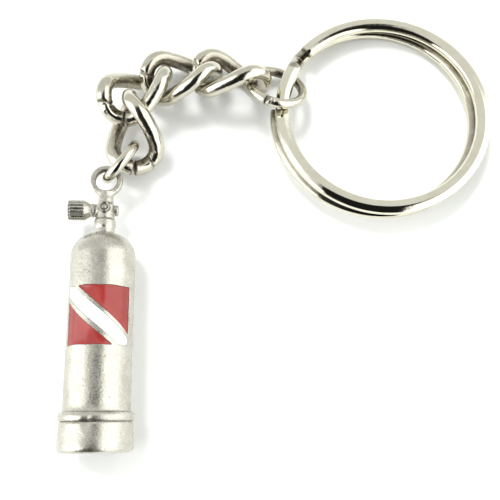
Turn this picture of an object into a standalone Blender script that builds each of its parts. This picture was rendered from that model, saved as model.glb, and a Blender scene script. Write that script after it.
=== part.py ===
"""Scuba-tank key ring charm: a cast pewter tank with an enamelled dive flag, hung from a split ring.

Units are metres, +Z is up and +Y runs along the tank from its boot to its hanging eye. The charm lies
on the plane z = 0 with its chain and key ring laid out beside it. Seen along the chain the pieces are
the casting with its three enamel fills, a jump ring, a curb chain, a larger jump ring and the split ring.
"""

import math

import bmesh
import bpy
from mathutils import Euler, Matrix, Vector

MM = 0.001
DEG = math.pi / 180

# ---- charm, along its own axis from the boot's flat end -------------------------------------------
CYLINDER_RADIUS = 4.2 * MM
BOOT_RIM_RADIUS = 4.75 * MM
BOOT_TOP_RADIUS = 4.58 * MM
BOOT_EDGE_ROUND = 0.7 * MM
BOOT_SKIRT_HEIGHT = 3.75 * MM
BOOT_GROOVE_DEPTH = 0.14 * MM
BEAD_RADIUS = 4.72 * MM
BEAD_HEIGHT = 1.1 * MM
SHOULDER_START = 24.7 * MM
SHOULDER_HEIGHT = 3.4 * MM
SHOULDER_POWER = 0.9
NECK_RADIUS = 1.3 * MM
COLLAR_RADIUS = 1.4 * MM
COLLAR_END = 29.9 * MM
VALVE_RADIUS = 1.28 * MM
VALVE_END = 32.3 * MM
WAIST_RADIUS = 0.9 * MM
WAIST_END = 33.8 * MM
EYE_CENTRE = 35.5 * MM
EYE_OUTER_RADIUS = 2.15 * MM
EYE_HOLE_RADIUS = 1.42 * MM
EYE_THICKNESS = 1.1 * MM

# ---- the valve's fittings -------------------------------------------------------------------------
OUTLET_HEIGHT = 31.45 * MM
OUTLET_RADIUS = 0.68 * MM
OUTLET_REACH = 1.75 * MM
SIDE_AXIS_HEIGHT = 31.3 * MM
STEM_RADIUS = 0.85 * MM
KNOB_RADIUS = 1.36 * MM
KNOB_START = 2.0 * MM
KNOB_TAPER = 0.65 * MM
KNOB_END = 4.9 * MM
KNOB_CHAMFER = 0.15 * MM
KNOB_FLUTES = 10
KNOB_FLUTE_DEPTH = 0.16 * MM
PLUG_RADIUS = 0.74 * MM
PLUG_REACH = 1.75 * MM
FITTING_ROOT = -0.4 * MM

# ---- dive flag, laid out flat and wrapped on the cylinder ------------------------------------------
FLAG_CENTRE = 16.61 * MM
FLAG_WIDTH = 9.1 * MM
FLAG_HEIGHT = 7.5 * MM
STRIPE_WIDTH = 1.75 * MM
STRIPE_SHIFT = 0.15 * MM
WALL = 0.37 * MM
POCKET_DEPTH = 0.7 * MM
ENAMEL_GAP = 0.2 * MM
RED_LEVEL = -0.1 * MM
WHITE_LEVEL = 0.1 * MM
CORNER_ROUND = 0.25 * MM

# ---- chain and rings ------------------------------------------------------------------------------
LINK_LENGTH = 12.0 * MM
LINK_WIDTH = 8.5 * MM
LINK_WIRE = 2.2 * MM
LINK_TWIST = -57 * DEG
CHARM_RING_DIAMETER = 7.5 * MM
CHARM_RING_WIRE = 1.4 * MM
END_RING_DIAMETER = 9.3 * MM
END_RING_WIRE = 1.35 * MM
SPLIT_RING_DIAMETER = 30.4 * MM
COIL_WIDTH = 2.1 * MM
COIL_HEIGHT = 1.45 * MM
COIL_PITCH = 1.65 * MM
COIL_SHIFT = 0.65 * MM
COIL_SQUARENESS = 3.0
COIL_START = 143 * DEG
COIL_TRAVEL = 682 * DEG
JOGGLE_START = 347 * DEG
JOGGLE_END = 359 * DEG

# ---- how the charm lies ---------------------------------------------------------------------------
CHARM_PLACE = (-23.8 * MM, -30.45 * MM)
CHARM_HEADING = 0.65 * DEG
CHARM_ROLL = 5 * DEG

# ---- finishes: linear colour, metallic, roughness --------------------------------------------------
PEWTER = ((0.43, 0.42, 0.36), 1.0, 0.42)
NICKEL = ((0.62, 0.60, 0.52), 1.0, 0.12)
RED_ENAMEL = ((0.48, 0.07, 0.045), 0.0, 0.15)
WHITE_ENAMEL = ((0.86, 0.86, 0.83), 0.0, 0.15)

# ---- mesh fineness --------------------------------------------------------------------------------
CASTING_SEGMENTS = 36
FITTING_SEGMENTS = 20
WIRE_SEGMENTS = 10
LINK_STATIONS = 44
RING_STATIONS = 32
COIL_STATIONS = 112
EYE_SECTION_POINTS = 8
ARC_STEPS = 5
SHOULDER_STEPS = 10
WRAP_STEP = 7.5 * DEG
SHARP_ANGLE = 40 * DEG


def placement(x, y, z, heading, pitch, roll):
    """World matrix of a chain piece from its centre in mm and its angles in degrees.

    Heading turns its long axis from +X towards +Y, pitch lifts that axis, roll turns the piece about it."""
    turn = Euler((roll * DEG, -pitch * DEG, heading * DEG), "XYZ").to_matrix().to_4x4()
    return Matrix.Translation((x * MM, y * MM, z * MM)) @ turn


PLACES = {
    "charm_jump_ring": placement(-22.45, 7.95, 3.6, 53, 1.5, 112),
    "curb_link_1": placement(-20.9, 12.25, 3.65, 95, 16.5, -33),
    "curb_link_2": placement(-20.6, 18.25, 4.15, 38, -12.5, -20.5),
    "curb_link_3": placement(-14.45, 20.85, 3.7, 7, 1.5, -25),
    "curb_link_4": placement(-7.45, 20.75, 3.9, -11, 3, -42.5),
    "end_jump_ring": placement(-1, 19.1, 3.75, 17.5, -24.5, -24),
    "split_ring": placement(14, 15.35, 2.55, -4.5, -1, -3.5),
}


def clear_scene():
    for obj in list(bpy.data.objects):
        bpy.data.objects.remove(obj, do_unlink=True)


def make_material(name, colour, metallic, roughness):
    material = bpy.data.materials.new(name)
    material.use_nodes = True
    shader = material.node_tree.nodes["Principled BSDF"]
    shader.inputs["Base Color"].default_value = (*colour, 1.0)
    shader.inputs["Metallic"].default_value = metallic
    shader.inputs["Roughness"].default_value = roughness
    return material


# ---- general shapes -------------------------------------------------------------------------------
def add_object(name, mesh, finish=None):
    mesh.shade_smooth()
    mesh.set_sharp_from_angle(angle=SHARP_ANGLE)
    if finish:
        mesh.materials.append(make_material(name, *finish))
    obj = bpy.data.objects.new(name, mesh)
    bpy.context.scene.collection.objects.link(obj)
    return obj


def loft(name, rings, closed=False, finish=None):
    """One skin over a row of rings with equal point counts: closed into a loop, or capped at both ends."""
    bm = bmesh.new()
    rows = [[bm.verts.new(point) for point in ring] for ring in rings]
    pairs = list(zip(rows, rows[1:]))
    if closed:
        pairs.append((rows[-1], rows[0]))
    else:
        bm.faces.new(rows[0])
        bm.faces.new(rows[-1])
    for first, second in pairs:
        for k in range(len(first)):
            after = (k + 1) % len(first)
            bm.faces.new((first[k], first[after], second[after], second[k]))
    bmesh.ops.recalc_face_normals(bm, faces=bm.faces)
    mesh = bpy.data.meshes.new(name)
    bm.to_mesh(mesh)
    bm.free()
    return add_object(name, mesh, finish)


def section(centre, side, up, width, height, count, squareness=2.0):
    """A ring of points round centre: an ellipse, or a rounded rectangle where squareness is above 2."""
    points = []
    for k in range(count):
        angle = 2 * math.pi * (k + 0.5) / count
        across = math.copysign(abs(math.cos(angle)) ** (2 / squareness), math.cos(angle))
        along = math.copysign(abs(math.sin(angle)) ** (2 / squareness), math.sin(angle))
        points.append(centre + side * (across * width / 2) + up * (along * height / 2))
    return points


def turned(name, profile, axis, segments, finish=None, flutes=0, flute_depth=0.0):
    """Solid turned about axis from (radius, distance) points, with flutes cut where a point says so."""
    side = axis.orthogonal().normalized()
    up = axis.cross(side)
    rings = []
    for point in profile:
        radius, distance = point[:2]
        depth = flute_depth if len(point) == 3 else 0.0
        ring = []
        for k in range(segments):
            angle = 2 * math.pi * k / segments
            reach = radius - depth * (1 + math.cos(flutes * angle)) / 2
            ring.append(axis * distance + side * (reach * math.cos(angle)) + up * (reach * math.sin(angle)))
        rings.append(ring)
    return loft(name, rings, finish=finish)


def arc(centre, radii, start, end, steps=ARC_STEPS):
    """Points of an elliptical arc from one angle to another, both ends included."""
    points = []
    for k in range(steps + 1):
        angle = start + (end - start) * k / steps
        points.append((centre[0] + radii[0] * math.cos(angle), centre[1] + radii[1] * math.sin(angle)))
    return points


def shoulder_arc(steps):
    """Points from the end of the cylinder in to the neck, a little fuller than an ellipse."""
    neck_angle = math.acos((NECK_RADIUS / CYLINDER_RADIUS) ** (1 / SHOULDER_POWER))
    points = []
    for k in range(steps + 1):
        angle = neck_angle * k / steps
        rise = SHOULDER_HEIGHT * math.sin(angle) ** SHOULDER_POWER
        points.append((CYLINDER_RADIUS * math.cos(angle) ** SHOULDER_POWER, SHOULDER_START + rise))
    return points


def hide_tool(tool, parent):
    """A Boolean operand: placed with its parent, and left out of the finished model."""
    tool.parent = parent
    tool.display_type = "WIRE"
    tool.hide_render = True


def boolean(obj, tool, operation):
    modifier = obj.modifiers.new(tool.name, "BOOLEAN")
    modifier.operation = operation
    modifier.solver = "EXACT"
    modifier.object = tool


# ---- the casting ----------------------------------------------------------------------------------
def casting_profile():
    """(radius, height) points from the boot's flat end, up the cylinder and neck, to the eye's waist."""
    edge = arc((BOOT_RIM_RADIUS - BOOT_EDGE_ROUND, BOOT_EDGE_ROUND), (BOOT_EDGE_ROUND,) * 2, -90 * DEG, 0)
    groove = BOOT_TOP_RADIUS - BOOT_GROOVE_DEPTH
    bead_middle = BOOT_SKIRT_HEIGHT + BEAD_HEIGHT / 2
    bead = arc((groove, bead_middle), (BEAD_RADIUS - groove, BEAD_HEIGHT / 2), -80 * DEG, 80 * DEG)
    shoulder = shoulder_arc(SHOULDER_STEPS)
    neck_height = shoulder[-1][1]
    collar_middle = (neck_height + COLLAR_END) / 2
    collar_half = (COLLAR_END - neck_height) / 2
    collar_bulge = (COLLAR_RADIUS - NECK_RADIUS, collar_half)
    collar = arc((NECK_RADIUS, collar_middle), collar_bulge, -70 * DEG, 70 * DEG)
    return [
        *edge,
        (BOOT_TOP_RADIUS, BOOT_SKIRT_HEIGHT - BOOT_GROOVE_DEPTH),
        *bead,
        (CYLINDER_RADIUS, BOOT_SKIRT_HEIGHT + BEAD_HEIGHT),
        *shoulder,
        *collar,
        (VALVE_RADIUS, COLLAR_END),
        (VALVE_RADIUS, VALVE_END),
        (WAIST_RADIUS, WAIST_END),
    ]


def add_fittings(casting, parent):
    """Joins the eye, outlet, hand knob and plug to the casting as one solid."""
    along = Vector((0, 1, 0))
    eye_radius = (EYE_OUTER_RADIUS + EYE_HOLE_RADIUS) / 2
    rings = []
    for k in range(RING_STATIONS):
        angle = 2 * math.pi * k / RING_STATIONS
        out = Vector((math.cos(angle), math.sin(angle), 0))
        centre = along * EYE_CENTRE + out * eye_radius
        rings.append(section(centre, out, Vector((0, 0, 1)), EYE_OUTER_RADIUS - EYE_HOLE_RADIUS,
                             EYE_THICKNESS, EYE_SECTION_POINTS))
    eye = loft("eye_form", rings, closed=True)

    outlet = turned("outlet_form", [(OUTLET_RADIUS, 0), (OUTLET_RADIUS, OUTLET_REACH)],
                    Vector((0, 0, 1)), FITTING_SEGMENTS)
    outlet.location = along * OUTLET_HEIGHT

    knob_profile = [
        (STEM_RADIUS, 0),
        (STEM_RADIUS, KNOB_START),
        (KNOB_RADIUS, KNOB_START + KNOB_TAPER, "fluted"),
        (KNOB_RADIUS, KNOB_END - KNOB_CHAMFER, "fluted"),
        (KNOB_RADIUS - KNOB_CHAMFER, KNOB_END, "fluted"),
    ]
    knob = turned("knob_form", knob_profile, Vector((-1, 0, 0)), 4 * KNOB_FLUTES,
                  flutes=KNOB_FLUTES, flute_depth=KNOB_FLUTE_DEPTH)
    plug = turned("plug_form", [(PLUG_RADIUS, FITTING_ROOT), (PLUG_RADIUS, PLUG_REACH)],
                  Vector((1, 0, 0)), FITTING_SEGMENTS)
    for fitting in (knob, plug):
        fitting.location = along * SIDE_AXIS_HEIGHT

    for fitting in (eye, outlet, knob, plug):
        hide_tool(fitting, parent)
        boolean(casting, fitting, "UNION")


# ---- the flag -------------------------------------------------------------------------------------
STRIPE_NORMAL = Vector((FLAG_HEIGHT, FLAG_WIDTH)).normalized()


def flag_panel(margin):
    """The flag's rectangle as (across, along) points, drawn in by margin."""
    across = FLAG_WIDTH / 2 - margin
    along = FLAG_HEIGHT / 2 - margin
    corners = [(-across, -along), (across, -along), (across, along), (-across, along)]
    return [Vector(corner) for corner in corners]


def cut_by_line(outline, normal, reach):
    """The part of a convex outline that lies no further than reach along normal."""
    kept = []
    for here, there in zip(outline, outline[1:] + outline[:1]):
        a = here.dot(normal) - reach
        b = there.dot(normal) - reach
        if a <= 0:
            kept.append(here)
        if a * b < 0:
            kept.append(here.lerp(there, a / (a - b)))
    return kept


def red_outline(side, margin):
    """Upper right field for side 1, lower left field for side -1."""
    reach = STRIPE_WIDTH / 2 + WALL + margin - side * STRIPE_SHIFT
    return cut_by_line(flag_panel(margin), STRIPE_NORMAL * -side, -reach)


def stripe_outline(margin):
    """The band between them, set off the flag's diagonal by STRIPE_SHIFT towards the lower left."""
    half = STRIPE_WIDTH / 2 - margin
    upper = cut_by_line(flag_panel(margin), STRIPE_NORMAL, half - STRIPE_SHIFT)
    return cut_by_line(upper, -STRIPE_NORMAL, half + STRIPE_SHIFT)


def rounded(outline, radius):
    """The outline with each corner eased through a short curve."""
    points = []
    count = len(outline)
    for k, corner in enumerate(outline):
        before = corner + (outline[k - 1] - corner).normalized() * radius
        after = corner + (outline[(k + 1) % count] - corner).normalized() * radius
        for t in (0, 0.33, 0.67, 1):
            points.append(before.lerp(corner, t).lerp(corner.lerp(after, t), t))
    return points


def wrapped_plates(name, outlines, inner, outer, finish=None):
    """A plate over each flat outline, bent round the tank's axis between two radii."""
    bm = bmesh.new()
    for outline in outlines:
        bm.faces.new([bm.verts.new((across, along, 0)) for across, along in outline])
    reach = math.ceil(FLAG_WIDTH / 2 / CYLINDER_RADIUS / WRAP_STEP)
    for k in range(-reach, reach + 1):
        everything = bm.verts[:] + bm.edges[:] + bm.faces[:]
        place = (k * WRAP_STEP * CYLINDER_RADIUS, 0, 0)
        bmesh.ops.bisect_plane(bm, geom=everything, plane_co=place, plane_no=(1, 0, 0), dist=1e-7)
    top = bm.faces[:]
    rim = [edge for edge in bm.edges if edge.is_boundary]
    below = {vert: bm.verts.new(vert.co) for vert in bm.verts[:]}
    for face in top:
        bm.faces.new([below[vert] for vert in reversed(face.verts)])
    for edge in rim:
        first, second = edge.verts
        bm.faces.new((first, second, below[second], below[first]))
    for radius, verts in ((outer, list(below)), (inner, list(below.values()))):
        for vert in verts:
            angle = vert.co.x / CYLINDER_RADIUS
            vert.co = (radius * math.sin(angle), FLAG_CENTRE + vert.co.y, radius * math.cos(angle))
    bmesh.ops.recalc_face_normals(bm, faces=bm.faces)
    mesh = bpy.data.meshes.new(name)
    bm.to_mesh(mesh)
    bm.free()
    return add_object(name, mesh, finish)


def add_flag(casting, parent):
    """Sinks a pocket for each enamel fill into the cylinder and lays the fill in it."""
    floor = CYLINDER_RADIUS - POCKET_DEPTH
    above = CYLINDER_RADIUS + POCKET_DEPTH
    fields = [
        ("flag_red_upper", lambda margin: red_outline(1, margin), RED_ENAMEL, RED_LEVEL),
        ("flag_red_lower", lambda margin: red_outline(-1, margin), RED_ENAMEL, RED_LEVEL),
        ("flag_white_stripe", stripe_outline, WHITE_ENAMEL, WHITE_LEVEL),
    ]
    openings = [rounded(outline(0), CORNER_ROUND) for _, outline, _, _ in fields]
    pockets = wrapped_plates("flag_pockets", openings, floor, above)
    hide_tool(pockets, parent)
    boolean(casting, pockets, "DIFFERENCE")
    for name, outline, finish, level in fields:
        shape = rounded(outline(ENAMEL_GAP), CORNER_ROUND)
        fill = wrapped_plates(name, [shape], floor + ENAMEL_GAP, CYLINDER_RADIUS + level, finish)
        fill.parent = parent


def charm_matrix():
    """Lays the tank down so that the boot's bead and the end of the cylinder both touch the ground."""
    bead_middle = BOOT_SKIRT_HEIGHT + BEAD_HEIGHT / 2
    tilt = math.atan((BEAD_RADIUS - CYLINDER_RADIUS) / (SHOULDER_START - bead_middle))
    axis_height = BEAD_RADIUS * math.cos(tilt) + bead_middle * math.sin(tilt)
    turn = Matrix.Rotation(CHARM_HEADING, 4, "Z") @ Matrix.Rotation(-tilt, 4, "X")
    return Matrix.Translation((*CHARM_PLACE, axis_height)) @ turn @ Matrix.Rotation(CHARM_ROLL, 4, "Y")


def build_charm():
    place = bpy.data.objects.new("charm_place", None)
    bpy.context.scene.collection.objects.link(place)
    place.matrix_world = charm_matrix()
    casting = turned("tank_casting", casting_profile(), Vector((0, 1, 0)), CASTING_SEGMENTS, PEWTER)
    casting.parent = place
    add_fittings(casting, place)
    add_flag(casting, place)


# ---- wire pieces: each is a path of (point, side) pairs, side pointing out of the loop --------------
def ring_path(radius, stations):
    """A flat circle round the origin."""
    path = []
    for k in range(stations):
        angle = 2 * math.pi * k / stations
        out = Vector((math.cos(angle), math.sin(angle), 0))
        path.append((out * radius, out))
    return path


def link_path(stations):
    """A stadium along X, twisted evenly about that axis from one end to the other."""
    bow = (LINK_WIDTH - LINK_WIRE) / 2
    straight = (LINK_LENGTH - LINK_WIRE) / 2 - bow
    side_length = 2 * straight
    bow_length = math.pi * bow
    path = []
    for k in range(stations):
        run = 2 * (side_length + bow_length) * k / stations
        end = -1 if run < side_length + bow_length else 1
        run %= side_length + bow_length
        if run < bow_length:
            angle = run / bow
            out = Vector((math.sin(angle), -math.cos(angle), 0)) * end
            flat = Vector((end * straight, 0, 0)) + out * bow
        else:
            out = Vector((0, end, 0))
            flat = Vector((end * (straight - (run - bow_length)), 0, 0)) + out * bow
        twist = Matrix.Rotation(LINK_TWIST * flat.x / (straight + bow), 3, "X")
        path.append((twist @ flat, twist @ out))
    return path


def coil_path(stations):
    """The split ring's wire: one turn on the upper level, a joggle down, and one turn on the lower.

    The lower turn is sprung COIL_SHIFT off centre, towards the chain."""
    radius = (SPLIT_RING_DIAMETER - COIL_WIDTH) / 2
    path = []
    for k in range(stations):
        travel = COIL_TRAVEL * k / (stations - 1)
        share = min(max((travel - JOGGLE_START) / (JOGGLE_END - JOGGLE_START), 0), 1)
        drop = share * share * (3 - 2 * share)
        out = Vector((math.cos(COIL_START - travel), math.sin(COIL_START - travel), 0))
        path.append((out * radius + Vector((-COIL_SHIFT * drop, 0, COIL_PITCH * (0.5 - drop))), out))
    return path


def wire_rings(path, width, height, count, closed, squareness=2.0):
    """Cross-sections square to a path, one at each of its points."""
    rings = []
    last = len(path) - 1
    for k, (point, out) in enumerate(path):
        before = path[k - 1][0] if k > 0 or closed else point
        after = path[(k + 1) % len(path)][0] if k < last or closed else point
        forward = (after - before).normalized()
        side = (out - forward * out.dot(forward)).normalized()
        rings.append(section(point, side, forward.cross(side), width, height, count, squareness))
    return rings


def build_chain():
    """The chain's pieces in order from the charm, each made round its own centre and put in its place."""
    charm_ring = ring_path((CHARM_RING_DIAMETER - CHARM_RING_WIRE) / 2, RING_STATIONS)
    end_ring = ring_path((END_RING_DIAMETER - END_RING_WIRE) / 2, RING_STATIONS)
    link = link_path(LINK_STATIONS)
    pieces = [("charm_jump_ring", charm_ring, CHARM_RING_WIRE)]
    pieces += [(f"curb_link_{number}", link, LINK_WIRE) for number in (1, 2, 3, 4)]
    pieces += [("end_jump_ring", end_ring, END_RING_WIRE)]
    built = []
    for name, path, wire in pieces:
        rings = wire_rings(path, wire, wire, WIRE_SEGMENTS, closed=True)
        built.append((loft(name, rings, closed=True, finish=NICKEL), path))
    coil = coil_path(COIL_STATIONS)
    rings = wire_rings(coil, COIL_WIDTH, COIL_HEIGHT, WIRE_SEGMENTS, closed=False, squareness=COIL_SQUARENESS)
    built.append((loft("split_ring", rings, finish=NICKEL), coil))
    return built


def eye_path():
    centre = Vector((0, EYE_CENTRE, 0))
    circle = ring_path((EYE_OUTER_RADIUS + EYE_HOLE_RADIUS) / 2, RING_STATIONS)
    return [(centre + point, out) for point, out in circle]


def wire_contact(holder, held):
    """The point of the holder's wire nearest the held piece, and the way that wire runs there."""
    count = len(holder)
    k = min(range(count), key=lambda n: min((holder[n] - point).length for point in held))
    return holder[k], (holder[(k + 1) % count] - holder[k - 1]).normalized()


def hang_chain(built):
    """Parents each piece to an empty on its hinge axis, which is the wire of the piece that holds it."""
    world = charm_matrix()
    holder = [world @ point for point, _ in eye_path()]
    for obj, path in built:
        world = PLACES[obj.name]
        held = [world @ point for point, _ in path]
        point, along = wire_contact(holder, held)
        pivot = bpy.data.objects.new(obj.name + "_pivot", None)
        bpy.context.scene.collection.objects.link(pivot)
        pivot.matrix_world = Matrix.Translation(point) @ along.to_track_quat("Z", "Y").to_matrix().to_4x4()
        obj.parent = pivot
        obj.matrix_parent_inverse = pivot.matrix_world.inverted()
        obj.matrix_basis = world
        holder = held


def main():
    clear_scene()
    build_charm()
    hang_chain(build_chain())


main()
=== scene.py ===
"""Looks of the scuba-tank key ring: a satin pewter charm with a dive flag in enamel, on polished nickel chain.

Every visible piece is built finer here than its CAD solid, in the same place, and rides on that solid's body.
Sizes are millimetres until a mesh is made, and metres from then on.
"""

import math

import bmesh
import bpy
import numpy as np
from mathutils import Euler, Matrix, Vector, noise


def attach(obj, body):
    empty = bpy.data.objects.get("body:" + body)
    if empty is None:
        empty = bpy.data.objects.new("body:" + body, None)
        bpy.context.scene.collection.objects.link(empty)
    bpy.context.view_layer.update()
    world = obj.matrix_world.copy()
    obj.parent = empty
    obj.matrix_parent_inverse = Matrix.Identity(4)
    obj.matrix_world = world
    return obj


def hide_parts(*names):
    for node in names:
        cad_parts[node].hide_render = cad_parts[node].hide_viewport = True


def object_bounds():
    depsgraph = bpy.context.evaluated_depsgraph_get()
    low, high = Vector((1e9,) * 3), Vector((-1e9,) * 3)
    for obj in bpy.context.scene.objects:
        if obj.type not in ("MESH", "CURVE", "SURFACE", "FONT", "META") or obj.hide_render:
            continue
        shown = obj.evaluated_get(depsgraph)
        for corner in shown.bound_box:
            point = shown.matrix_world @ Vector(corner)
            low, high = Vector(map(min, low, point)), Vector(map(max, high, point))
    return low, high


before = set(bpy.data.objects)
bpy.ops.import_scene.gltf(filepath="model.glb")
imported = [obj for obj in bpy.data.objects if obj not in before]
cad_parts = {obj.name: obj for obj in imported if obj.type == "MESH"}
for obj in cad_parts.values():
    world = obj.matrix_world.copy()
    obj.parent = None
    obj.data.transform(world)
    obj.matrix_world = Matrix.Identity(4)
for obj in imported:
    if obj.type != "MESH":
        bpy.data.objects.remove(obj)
CAD_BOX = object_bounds()

MM = 0.001
DEG = math.pi / 180

# ---- charm sizes, as in the CAD ---------------------------------------------------------------------
CYLINDER_RADIUS = 4.2
BEAD_RADIUS = 4.72
BEAD_MIDDLE = 4.3
SHOULDER_START = 24.7
SHOULDER_HEIGHT = 3.4
SHOULDER_POWER = 0.9
EYE_CENTRE = 35.5
EYE_WIRE_RADIUS = 1.785
EYE_HOLE_RADIUS = 1.4
SIDE_AXIS = 31.3
OUTLET_HEIGHT = 31.45
CHARM_PLACE = (-23.8, -30.45)
CHARM_HEADING = 0.65 * DEG
CHARM_ROLL = 5 * DEG

# ---- flag ------------------------------------------------------------------------------------------
FLAG_CENTRE = 16.61
FLAG_HALF_WIDTH = 4.55
FLAG_HALF_HEIGHT = 3.75
STRIPE_HALF = 0.875
STRIPE_SHIFT = 0.15
STRIPE_RUN = 4.8
WALL = 0.37
# How far each red field's slanting side bows in, and the half length of the bow.
RED_BOW_UPPER = 0.02
RED_BOW_LOWER = 0.16
RED_BOW_REACH = 5.8
POCKET_FLOOR = 3.6
ENAMEL_GAP = 0.03
# The enamel's level at its edge against the cylinder's surface, and how it sinks or swells further in.
RED_TOP = -0.03
RED_SAG = 0.07
RED_SAG_REACH = 0.25
WHITE_TOP = 0.0
WHITE_CROWN = 0.14
WHITE_CROWN_REACH = 0.35
# Three fillets of the flag's corners: of a red field, of the stripe, and of a fill's upper edge.
RED_CORNER = 0.25
STRIPE_CORNER = 0.2
FILL_EDGE = 0.06

# ---- chain and rings -------------------------------------------------------------------------------
LINK_LENGTH = 12.0
LINK_WIDTH = 8.5
LINK_WIRE = 2.2
LINK_TWIST = -57 * DEG
# Jump rings: outer diameter and wire.
CHARM_RING = (7.5, 1.4)
END_RING = (9.3, 1.35)
SPLIT_RING_DIAMETER = 30.4
COIL_WIDTH = 2.1
COIL_HEIGHT = 1.45
COIL_PITCH = 1.65
COIL_SHIFT = 0.65
COIL_SQUARENESS = 2.1
COIL_START = 143 * DEG
COIL_TRAVEL = 682 * DEG
JOGGLE_START = 347 * DEG
JOGGLE_END = 359 * DEG


def placement(x, y, z, heading, pitch, roll):
    """Matrix, in mm, of a chain piece: heading from +X to +Y, pitch lifts its long axis, roll turns it."""
    turn = Euler((roll * DEG, -pitch * DEG, heading * DEG), "XYZ").to_matrix().to_4x4()
    return Matrix.Translation((x, y, z)) @ turn


# Where each piece lies at rest, as in the CAD.
PLACES = {
    "charm_jump_ring": placement(-22.45, 7.95, 3.6, 53, 1.5, 112),
    "curb_link_1": placement(-20.9, 12.25, 3.65, 95, 16.5, -33),
    "curb_link_2": placement(-20.6, 18.25, 4.15, 38, -12.5, -20.5),
    "curb_link_3": placement(-14.45, 20.85, 3.7, 7, 1.5, -25),
    "curb_link_4": placement(-7.45, 20.75, 3.9, -11, 3, -42.5),
    "end_jump_ring": placement(-1, 19.1, 3.75, 17.5, -24.5, -24),
    "split_ring": placement(14, 15.35, 2.55, -4.5, -1, -3.5),
}


def charm_matrix():
    """The tank lies on its boot's bead and the end of its cylinder."""
    tilt = math.atan((BEAD_RADIUS - CYLINDER_RADIUS) / (SHOULDER_START - BEAD_MIDDLE))
    axis_height = BEAD_RADIUS * math.cos(tilt) + BEAD_MIDDLE * math.sin(tilt)
    turn = Matrix.Rotation(CHARM_HEADING, 4, "Z") @ Matrix.Rotation(-tilt, 4, "X")
    return Matrix.Translation((*CHARM_PLACE, axis_height)) @ turn @ Matrix.Rotation(CHARM_ROLL, 4, "Y")


# ---- mesh helpers ----------------------------------------------------------------------------------
def make_object(name, vertices, faces, matrix, material, node=None, body=None):
    """An object from points in mm in a piece's own frame, standing for a CAD node if one is named."""
    points = np.asarray(vertices, float)
    turn = np.array(matrix.to_3x3())
    shift = np.array(matrix.translation)
    points = (points @ turn.T + shift) * MM
    mesh = bpy.data.meshes.new(name)
    mesh.from_pydata(points.tolist(), [], [list(map(int, face)) for face in faces])
    mesh.update()
    bm = bmesh.new()
    bm.from_mesh(mesh)
    bmesh.ops.recalc_face_normals(bm, faces=bm.faces)
    bm.to_mesh(mesh)
    bm.free()
    mesh.shade_smooth()
    mesh.materials.append(material)
    obj = bpy.data.objects.new(name, mesh)
    bpy.context.scene.collection.objects.link(obj)
    if node:
        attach(obj, body)
        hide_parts(node)
    return obj


SKIN_PULLS = 3
FLATTEST_SLOPE = 0.05


def surface_net(distance, low, high, step):
    """Skin of the solid where distance(x, y, z) < 0: quads on a grid, drawn onto the true surface."""
    axes = [np.arange(a, b + step, step) for a, b in zip(low, high)]
    grid = np.meshgrid(*axes, indexing="ij")
    field = distance(*grid)
    inside = field < 0
    shape = tuple(n - 1 for n in field.shape)
    total = np.zeros(shape + (3,))
    count = np.zeros(shape)
    crossings = []
    # Where each grid edge crosses the skin, and the mean crossing of every cell.
    for axis in range(3):
        near = [slice(None)] * 3
        far = [slice(None)] * 3
        near[axis] = slice(None, -1)
        far[axis] = slice(1, None)
        near, far = tuple(near), tuple(far)
        cross = inside[near] != inside[far]
        share = np.where(cross, field[near] / np.where(cross, field[near] - field[far], 1), 0)
        place = np.stack([g[near] for g in grid], -1)
        place[..., axis] += share * step
        crossings.append((cross, inside[near]))
        others = [a for a in range(3) if a != axis]
        for first in (0, 1):
            for second in (0, 1):
                pick = [slice(None)] * 3
                pick[others[0]] = slice(first, first + shape[others[0]])
                pick[others[1]] = slice(second, second + shape[others[1]])
                pick = tuple(pick)
                total += place[pick] * cross[pick][..., None]
                count += cross[pick]
    active = count > 0
    index = np.full(shape, -1)
    index[active] = np.arange(active.sum())
    points = total[active] / count[active][:, None]
    faces = []
    # A quad across every crossed edge, facing outwards.
    for axis, (cross, starts_inside) in enumerate(crossings):
        others = [a for a in range(3) if a != axis]
        i = np.argwhere(cross)
        ok = np.ones(len(i), bool)
        for other in others:
            ok &= (i[:, other] > 0) & (i[:, other] < shape[other])
        i = i[ok]
        corners = []
        for first, second in ((-1, -1), (0, -1), (0, 0), (-1, 0)):
            cell = i.copy()
            cell[:, others[0]] += first
            cell[:, others[1]] += second
            corners.append(index[cell[:, 0], cell[:, 1], cell[:, 2]])
        quads = np.stack(corners, 1)
        flip = starts_inside[i[:, 0], i[:, 1], i[:, 2]] != (axis == 1)
        quads[~flip] = quads[~flip][:, ::-1]
        faces.append(quads)
    # Newton steps onto the true surface.
    reach = step / 4
    for _ in range(SKIN_PULLS):
        value = distance(*points.T)
        slopes = []
        for unit in np.eye(3):
            ahead = distance(*(points + reach * unit).T)
            behind = distance(*(points - reach * unit).T)
            slopes.append((ahead - behind) / (2 * reach))
        slope = np.stack(slopes, 1)
        steepness = np.maximum((slope ** 2).sum(1), FLATTEST_SLOPE)
        move = slope * (value / steepness)[:, None]
        points = points - np.clip(move, -step / 2, step / 2)
    return points, np.concatenate(faces)


def smooth_min(a, b, width):
    """The nearer of two distances, with a fillet of about that width where they meet."""
    share = np.maximum(width - np.abs(a - b), 0) / width
    return np.minimum(a, b) - share * share * width / 4


def smooth_max(a, b, width):
    """The farther of two distances, with its edge eased over about that width."""
    return -smooth_min(-a, -b, width)


def rod(along, across, start, end, radius, ease):
    """Distance to a round rod with eased edges, from how far along and across its axis a point is."""
    side = across - (radius - ease)
    cap = np.abs(along - (start + end) / 2) - ((end - start) / 2 - ease)
    outside = np.hypot(np.maximum(side, 0), np.maximum(cap, 0))
    return outside + np.minimum(np.maximum(side, cap), 0) - ease


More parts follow.
